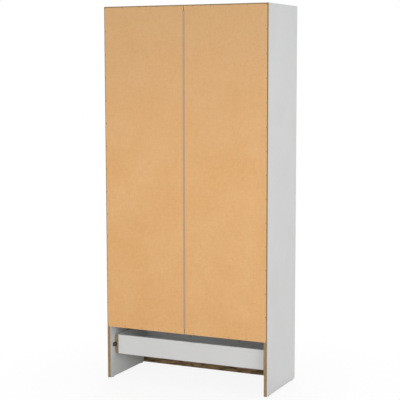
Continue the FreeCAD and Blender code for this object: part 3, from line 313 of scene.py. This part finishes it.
def board_material(node, faces, bands):
    """Melamine on a board's faces and banded edges, and raw board everywhere else."""
    low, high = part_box(node)
    axis = faces[0][1]
    at = "XYZ".index(axis)
    shader = Shader(f"board_{node}", Specular_IOR_Level=0.3)
    banded = face_planes(node, bands)
    skin, _ = shader.near(face_planes(node, faces) + banded, FOIL)
    raw_colour, raw_height = chipboard(shader, axis, (low[at] + high[at]) / 2, (high[at] - low[at]) / 2)
    if node in STRAND_FACES:
        strands, _ = shader.near(face_planes(node, [STRAND_FACES[node]]), FOIL)
        strand_colour, strand_height = coarse_strands(shader)
        raw_colour = shader.mix(strands, raw_colour, strand_colour)
        raw_height = shader.blend(strands, raw_height, strand_height)
    white, white_roughness, peel = melamine(shader, banded)
    shader.set("Base_Color", shader.mix(skin, raw_colour, white))
    shader.set("Roughness", shader.blend(skin, 0.85, white_roughness))
    rough = shader.bump(raw_height, 0.5 * MM, shader.math("SUBTRACT", 1.0, skin))
    shader.set("Normal", shader.bump(peel, 0.02 * MM, shader.math("MULTIPLY", skin, 0.5), rough))
    return shader.material


# Hardboard: pressed fibre, tan where it is bare, white where it is painted, and dark where it was sawn.

TOP_SHADE_LEVELS = (1.1, 1.9)     # metres above the floor over which the painted shade at the top, a greyer and darker tan, sets in
EDGE_WEAR = (0.5 * MM, 4 * MM)     # how far in from an edge the wear begins to fade and ends


def pressed_fibre(shader):
    """Colour and height of smooth hardboard: soft clouds, painted shade that makes the top greyer and darker,
    matted fibres every way, and a few dark flecks.
    """
    cloud = shader.noise(7.0, 4.0)
    colour = shader.mix(shader.spread(cloud, 0.3, 0.7), HARDBOARD, HARDBOARD_PALE)
    upward = shader.math("ADD", shader.axes["Z"], shader.math("MULTIPLY", cloud, 0.2))
    # Painted shade: towards the top of the sheet the tan turns greyer and darker, as though less light falls
    # there.
    colour = shader.mix(shader.spread(upward, *TOP_SHADE_LEVELS, 0.0, 0.75), colour, HARDBOARD_SHADED_TOP)
    upright = shader.noise(150.0, 4.0, shader.stretched(1.0, 1.0, 0.22), 1.2)
    level = shader.noise(170.0, 4.0, shader.stretched(0.22, 1.0, 1.0), 1.2)
    mat = shader.sum(upright, 0.5, level, 0.5)
    tangle = shader.noise(45.0, 8.0, None, 2.5)
    colour = shader.mix(shader.spread(mat, 0.42, 0.62, 0.0, 0.2), colour, HARDBOARD_FIBRE)
    colour = shader.mix(shader.spread(tangle, 0.5, 0.75, 0.0, 0.15), colour, HARDBOARD_FIBRE)
    fleck = shader.spread(shader.noise(900.0, 2.0, shader.stretched(1.0, 1.0, 0.5)), 0.68, 0.78)
    colour = shader.mix(shader.math("MULTIPLY", fleck, 0.5), colour, HARDBOARD_EDGE)
    return colour, mat


def hardboard_material(node, painted_faces, tan_face=None):
    """Hardboard with painted faces, a bare tan face if one is given, and dark sawn edges."""
    shader = Shader(f"hardboard_{node}", Specular_IOR_Level=0.35)
    tan_colour, mat = pressed_fibre(shader)
    colour = shader.mix(shader.noise(900.0, 3.0), HARDBOARD_EDGE, HARDBOARD_FIBRE)
    if tan_face:
        edges = [sign + axis for sign in "+-" for axis in "XYZ" if axis != tan_face[1]]
        _, from_edge = shader.near(face_planes(node, edges), FOIL)
        worn = shader.spread(from_edge, *EDGE_WEAR, 0.55, 0.0)
        tan_colour = shader.mix(worn, tan_colour, HARDBOARD_PALE)
        tan, _ = shader.near(face_planes(node, [tan_face]), FOIL)
        colour = shader.mix(tan, colour, tan_colour)
    painted, _ = shader.near(face_planes(node, painted_faces), FOIL)
    cover = shader.noise(40.0, 4.0)
    paint_colour = shader.mix(shader.spread(cover, 0.35, 0.65), PAINTED_THIN, PAINTED)
    shader.set("Base_Color", shader.mix(painted, colour, paint_colour))
    roughness = shader.spread(mat, 0.35, 0.7, 0.52, 0.68)
    shader.set("Roughness", shader.blend(painted, roughness, shader.spread(cover, 0.3, 0.7, 0.46, 0.42)))
    shader.set("Normal", shader.bump(mat, 0.08 * MM, 0.6))
    return shader.material


# Plastics and metals.


def plastic_material(name, colour, roughness):
    """Moulded plastic with a fine grain and faint pale wear."""
    shader = Shader(name)
    worn = shader.spread(shader.noise(90.0, 3.0), 0.3, 0.7, 0.0, 0.12)
    shader.set("Base_Color", shader.mix(worn, colour, lightened(colour, 0.5)))
    shader.set("Roughness", shader.spread(shader.noise(240.0, 2.0), 0.3, 0.7, roughness, roughness + 0.1))
    shader.set("Normal", shader.bump(shader.noise(1100.0, 2.0), 0.03 * MM, 0.6))
    return shader.material


def strip_material():
    """Extruded plastic with faint draw lines along the strip."""
    shader = Shader("strip_plastic", Specular_IOR_Level=0.4)
    lines = shader.noise(1800.0, 2.0, shader.stretched(1.0, 1.0, 0.01))
    tone = shader.spread(lines, 0.3, 0.7, 0.0, 0.25)
    shader.set("Base_Color", shader.mix(tone, STRIP, darkened(STRIP, 0.2)))
    shader.set("Roughness", shader.spread(shader.noise(60.0, 3.0), 0.3, 0.7, 0.42, 0.55))
    shader.set("Normal", shader.bump(lines, 0.03 * MM, 0.7))
    return shader.material


def metal_material(name, colour, dull, roughness, stretch=(1.0, 1.0, 1.0), grain=900.0):
    """Metal with a grain, drawn out along the axes whose stretch is small."""
    shader = Shader(name, Metallic=1.0)
    lines = shader.noise(grain, 3.0, shader.stretched(*stretch))
    shader.set("Base_Color", shader.mix(shader.spread(lines, 0.3, 0.7), dull, colour))
    shader.set("Roughness", shader.spread(lines, 0.3, 0.7, roughness + 0.12, roughness))
    shader.set("Normal", shader.bump(lines, 0.01 * MM, 0.5))
    return shader.material


def beech_material():
    """Dowel wood with its grain along X."""
    shader = Shader("beech")
    grain = shader.noise(320.0, 4.0, shader.stretched(0.08, 1.0, 1.0))
    shader.set("Base_Color", shader.mix(grain, BEECH_DARK, BEECH_PALE))
    shader.set("Roughness", shader.spread(grain, 0.3, 0.7, 0.6, 0.75))
    shader.set("Normal", shader.bump(grain, 0.1 * MM, 0.5))
    return shader.material


# Nodes and their finishes.

WELD_REACH = 0.005 * MM
SHARP_ANGLE = math.radians(50)
BOARD_EDGE_RADIUS = 0.4 * MM
FITTING_EDGE_RADIUS = 0.8 * MM
LEAF_EDGE_RADIUS = 0.15 * MM


def paint(node, material):
    """Puts a material in every slot of a CAD node's object."""
    piece = frame["nodes"][node]
    for slot in piece.material_slots:
        slot.link = "OBJECT"
        slot.material = material


def soften(node, radius):
    """Rounds the sharp edges of a CAD node."""
    piece = frame["nodes"][node]
    piece.modifiers.new("joined", "WELD").merge_threshold = WELD_REACH
    bevel = piece.modifiers.new("softened", "BEVEL")
    bevel.width = radius
    bevel.segments = 2
    bevel.limit_method = "ANGLE"
    bevel.angle_limit = SHARP_ANGLE


def finish_boards():
    for nodes, faces, bands in BOARDS:
        for node in nodes:
            paint(node, board_material(node, faces, bands))
            soften(node, BOARD_EDGE_RADIUS)


def finish_sheets():
    for side in SIDES:
        paint(f"back_panel_{side}", hardboard_material(f"back_panel_{side}", ["-Y"], "+Y"))
    paint("drawer_bottom", hardboard_material("drawer_bottom", ["+Z", "-Z"]))


def finish_fittings():
    zinc = metal_material("zinc", ZINC, ZINC_DULL, 0.3)
    satin_upright, satin_level = (
        metal_material(f"satin_steel_{way}", SATIN_STEEL, SATIN_STEEL_DULL, 0.26, stretch, 1500.0)
        for way, stretch in (("upright", (1.0, 1.0, 0.02)), ("level", (0.02, 1.0, 1.0)))
    )
    chrome = metal_material("chrome", CHROME, CHROME_DULL, 0.06, (1.0, 0.1, 1.0), 300.0)
    nail_steel = metal_material("nail_steel", NAIL_STEEL, NAIL_STEEL_DULL, 0.42)
    ferrite = plastic_material("ferrite", FERRITE, 0.55)
    white_plastic = plastic_material("white_plastic", WHITE_PLASTIC, 0.32)
    dark_plastic = plastic_material("dark_plastic", DARK_PLASTIC, 0.42)
    strip = strip_material()
    by_slot = {
        "white_plastic": white_plastic,
        "dark_plastic": dark_plastic,
        "beech": beech_material(),
        "zinc": zinc,
        "chrome": chrome,
        "magnet": ferrite,
    }
    for subpart in frame["record"]["subparts"]:
        if subpart["material_slot"] in by_slot:
            paint(subpart["node"], by_slot[subpart["material_slot"]])
    paint("back_nails", nail_steel)
    for place in ("upper", "lower"):
        paint(f"back_strip_{place}", strip)
    for side in SIDES:
        paint(f"door_handle_{side}", satin_upright)
        paint(f"drawer_handle_{side}", satin_level)
        for fitting in (f"door_handle_{side}", f"drawer_handle_{side}", f"drawer_runner_{side}"):
            soften(fitting, FITTING_EDGE_RADIUS)
        for leaves in (f"hinge_frame_leaves_{side}", f"hinge_door_leaves_{side}"):
            soften(leaves, LEAF_EDGE_RADIUS)
    for fitting in ("magnetic_catches", "rail_brackets"):
        soften(fitting, FITTING_EDGE_RADIUS)


# Cross recesses in the heads of the screws and cams.

RECESS_REACH = 0.58     # of the head's radius, from its middle to the end of an arm
RECESS_ARM = 0.15       # of the head's radius, half the width of an arm
RECESS_DEPTH = 0.32     # of the head's radius
RECESS_TAPER = 0.75     # size at the bottom, as a share of the size at the top
RECESS_CLEAR = 0.2 * MM     # how far a cutter stands out of the head
SOLID_WELD = 0.001 * MM
RIM_REACH = 0.05 * MM

# Each node with its heads' axis and the way that they face: + or - along it, in towards the middle or out.
HEADS = {
    "runner_screws": ("X", "in"),
    "drawer_back_screws": ("X", "out"),
    "catch_screws": ("Z", "in"),
    "rail_bracket_screws": ("Z", "-"),
    "cabinet_cams": ("Z", "-"),
    "drawer_cams": ("X", "in"),
    "drawer_handle_screws": ("Y", "+"),
}
# The same for nodes of which there is one on each side.
PAIRED_HEADS = {
    "hinge_frame_screws": ("X", "in"),
    "hinge_door_screws": ("X", "out"),
    "strike_screws": ("Y", "+"),
    "door_handle_screws": ("Y", "+"),
}


def solids_of(node):
    """The points of each separate solid of a CAD node, one array each."""
    joined = bmesh.new()
    joined.from_mesh(frame["nodes"][node].data)
    bmesh.ops.remove_doubles(joined, verts=joined.verts, dist=SOLID_WELD)
    reached = set()
    solids = []
    for start in joined.verts:
        if start in reached:
            continue
        reached.add(start)
        points, front = [], [start]
        while front:
            vert = front.pop()
            points.append(vert.co[:])
            for edge in vert.link_edges:
                other = edge.other_vert(vert)
                if other not in reached:
                    reached.add(other)
                    front.append(other)
        solids.append(np.array(points))
    joined.free()
    return solids


def head_of(points, axis, facing):
    """The middle of a head's face, its radius and the direction that it faces."""
    at = "XYZ".index(axis)
    low, high = points.min(0), points.max(0)
    outward = 1 if (low[at] + high[at]) / 2 > OBJECT_MIDDLE[at] else -1
    way = {"+": 1, "-": -1, "out": outward, "in": -outward}[facing]
    level = high[at] if way > 0 else low[at]
    middle = (low + high) / 2
    middle[at] = level
    rim = points[np.abs(points[:, at] - level) < RIM_REACH]
    across = [other for other in range(3) if other != at]
    radius = (rim.max(0) - rim.min(0))[across].max() / 2
    direction = np.zeros(3)
    direction[at] = way
    return Vector(middle), radius, Vector(direction)


def add_cross(mesh, middle, radius, direction):
    """A tapered cross that reaches into a head from just outside it."""
    arm, reach = RECESS_ARM * radius, RECESS_REACH * radius
    quarter = [(arm, arm), (arm, reach), (-arm, reach)]
    outline = []
    for turn in range(4):
        cos, sin = round(math.cos(turn * math.pi / 2)), round(math.sin(turn * math.pi / 2))
        outline += [(x * cos - y * sin, x * sin + y * cos) for x, y in quarter]
    turned = direction.to_track_quat("Z", "Y").to_matrix()
    rings = []
    for level, size in ((RECESS_CLEAR, 1.0), (-RECESS_DEPTH * radius, RECESS_TAPER)):
        points = [middle + turned @ Vector((x * size, y * size, level)) for x, y in outline]
        rings.append([mesh.verts.new(point) for point in points])
    top, bottom = rings
    mesh.faces.new(top)
    mesh.faces.new(reversed(bottom))
    count = len(outline)
    for index in range(count):
        after = (index + 1) % count
        mesh.faces.new((top[index], bottom[index], bottom[after], top[after]))


def recess_heads(node, axis, facing):
    """Cuts the cross recesses into a CAD node's heads with a hidden cutter that rides with it."""
    crosses = bmesh.new()
    for points in solids_of(node):
        add_cross(crosses, *head_of(points, axis, facing))
    bmesh.ops.recalc_face_normals(crosses, faces=crosses.faces)
    data = bpy.data.meshes.new(f"recess_{node}")
    crosses.to_mesh(data)
    crosses.free()
    cutter = bpy.data.objects.new(f"recess_{node}", data)
    bpy.context.scene.collection.objects.link(cutter)
    cutter.hide_render = True
    piece = frame["nodes"][node]
    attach(cutter, piece["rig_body"])
    piece.modifiers.new("joined", "WELD").merge_threshold = SOLID_WELD
    cut = piece.modifiers.new("recess", "BOOLEAN")
    cut.operation = "DIFFERENCE"
    cut.solver = "EXACT"
    cut.object = cutter


def finish_heads():
    for node, (axis, facing) in HEADS.items():
        recess_heads(node, axis, facing)
    for side in SIDES:
        for node, (axis, facing) in PAIRED_HEADS.items():
            recess_heads(f"{node}_{side}", axis, facing)


# Studio.

CAMERA_AZIMUTH = 205.05     # degrees, as are elevation and roll
CAMERA_ELEVATION = 6.48
CAMERA_ROLL = -0.1
CAMERA_DISTANCE = 5.595
CAMERA_LENS = 104.9
CAMERA_AIM = Vector((49 * MM, -83 * MM, 848 * MM))

WORLD_LIGHT = 0.43
LAMP_DISTANCE = 4.0
# Azimuth and elevation in degrees, width and height in metres, and power in watts of each softbox.
SOFTBOXES = {
    "key_back": (172.0, 4.0, 2.4, 1.2, 47.5),
    "fill_back": (238.0, 2.0, 2.4, 0.9, 37.5),
    "key_front": (25.0, 24.0, 2.4, 2.4, 66.0),
    "fill_front": (310.0, 10.0, 2.4, 1.8, 22.0),
    "above": (0.0, 90.0, 1.6, 1.6, 26.0),
}

FLOOR_SIZE = 30.0
FLOOR_DROP = 0.2 * MM
# The share of pure white in what the camera sees of the floor, near the object and far away, and the
# distances in metres from the object's middle over which that share grows.
FLOOR_BLEND = (0.89, 1.0)
FLOOR_FADE = (0.4, 1.1)


def direction_from(azimuth, elevation):
    """From the object towards an azimuth (0 in front, 90 at +X) and an elevation, in degrees."""
    turn, rise = math.radians(azimuth), math.radians(elevation)
    return Vector((math.sin(turn) * math.cos(rise), -math.cos(turn) * math.cos(rise), math.sin(rise)))


def add_camera():
    data = bpy.data.cameras.new("camera")
    data.lens = CAMERA_LENS
    camera = bpy.data.objects.new("camera", data)
    bpy.context.scene.collection.objects.link(camera)
    back = direction_from(CAMERA_AZIMUTH, CAMERA_ELEVATION)
    camera.location = CAMERA_AIM + back * CAMERA_DISTANCE
    level = (-back).to_track_quat("-Z", "Y").to_matrix()
    camera.rotation_euler = (level @ Matrix.Rotation(math.radians(CAMERA_ROLL), 3, "Z")).to_euler()
    bpy.context.scene.camera = camera


def add_softbox(name, azimuth, elevation, width, height, power):
    data = bpy.data.lights.new(name, "AREA")
    data.shape = "RECTANGLE"
    data.size, data.size_y = width, height
    data.energy = power
    lamp = bpy.data.objects.new(name, data)
    bpy.context.scene.collection.objects.link(lamp)
    away = direction_from(azimuth, elevation)
    lamp.location = OBJECT_MIDDLE + away * LAMP_DISTANCE
    lamp.rotation_euler = (-away).to_track_quat("-Z", "Y").to_euler()


def seen_directly(tree):
    """1 for what camera rays, reflections and clear materials show, and 0 for what lights the object."""
    path = tree.nodes.new("ShaderNodeLightPath")
    seen = path.outputs["Is Camera Ray"]
    for ray in ("Is Glossy Ray", "Is Transmission Ray"):
        either = tree.nodes.new("ShaderNodeMath")
        either.operation = "MAXIMUM"
        tree.links.new(seen, either.inputs[0])
        tree.links.new(path.outputs[ray], either.inputs[1])
        seen = either.outputs[0]
    return seen


def add_world(strength):
    """A white world that lights the object with this strength and is seen at strength 1."""
    world = bpy.data.worlds.new("studio")
    bpy.context.scene.world = world
    world.use_nodes = True
    tree = world.node_tree
    background = tree.nodes["Background"]
    background.inputs["Color"].default_value = WHITE
    level = tree.nodes.new("ShaderNodeMapRange")
    tree.links.new(seen_directly(tree), level.inputs[0])
    level.inputs["To Min"].default_value = strength
    level.inputs["To Max"].default_value = 1.0
    tree.links.new(level.outputs[0], background.inputs["Strength"])


def floor_material():
    """A pale floor that camera and reflections see as nearly white, with the object's shadow left in it."""
    shader = Shader("floor", Roughness=0.8, Specular_IOR_Level=0.1)
    shade = shader.spread(shader.noise(8.0, 4.0), 0.3, 0.7, 0.0, 1.0)
    shader.set("Base_Color", shader.mix(shade, FLOOR_DARK, FLOOR_PALE))
    from_middle = shader.node("ShaderNodeVectorMath", {0: shader.place}, operation="LENGTH").outputs["Value"]
    white_share = shader.spread(from_middle, *FLOOR_FADE, *FLOOR_BLEND)
    white = shader.node("ShaderNodeEmission", {"Color": WHITE, "Strength": 1.0})
    share = shader.math("MULTIPLY", seen_directly(shader.tree), white_share)
    inputs = {0: share, 1: shader.principled.outputs[0], 2: white.outputs[0]}
    both = shader.node("ShaderNodeMixShader", inputs).outputs[0]
    shader.tree.links.new(both, shader.tree.nodes["Material Output"].inputs["Surface"])
    return shader.material


def add_floor():
    data = bpy.data.meshes.new("floor")
    half = FLOOR_SIZE / 2
    level = cad_box[0].z - FLOOR_DROP
    corners = [(-half, -half, level), (half, -half, level), (half, half, level), (-half, half, level)]
    data.from_pydata(corners, [], [(0, 1, 2, 3)])
    floor = bpy.data.objects.new("floor", data)
    bpy.context.scene.collection.objects.link(floor)
    data.materials.append(floor_material())


def add_studio():
    add_camera()
    add_floor()
    add_world(WORLD_LIGHT)
    for name, values in SOFTBOXES.items():
        add_softbox(name, *values)
    bpy.context.scene.view_settings.view_transform = "Standard"


finish_boards()
finish_sheets()
finish_fittings()
finish_heads()
add_studio()
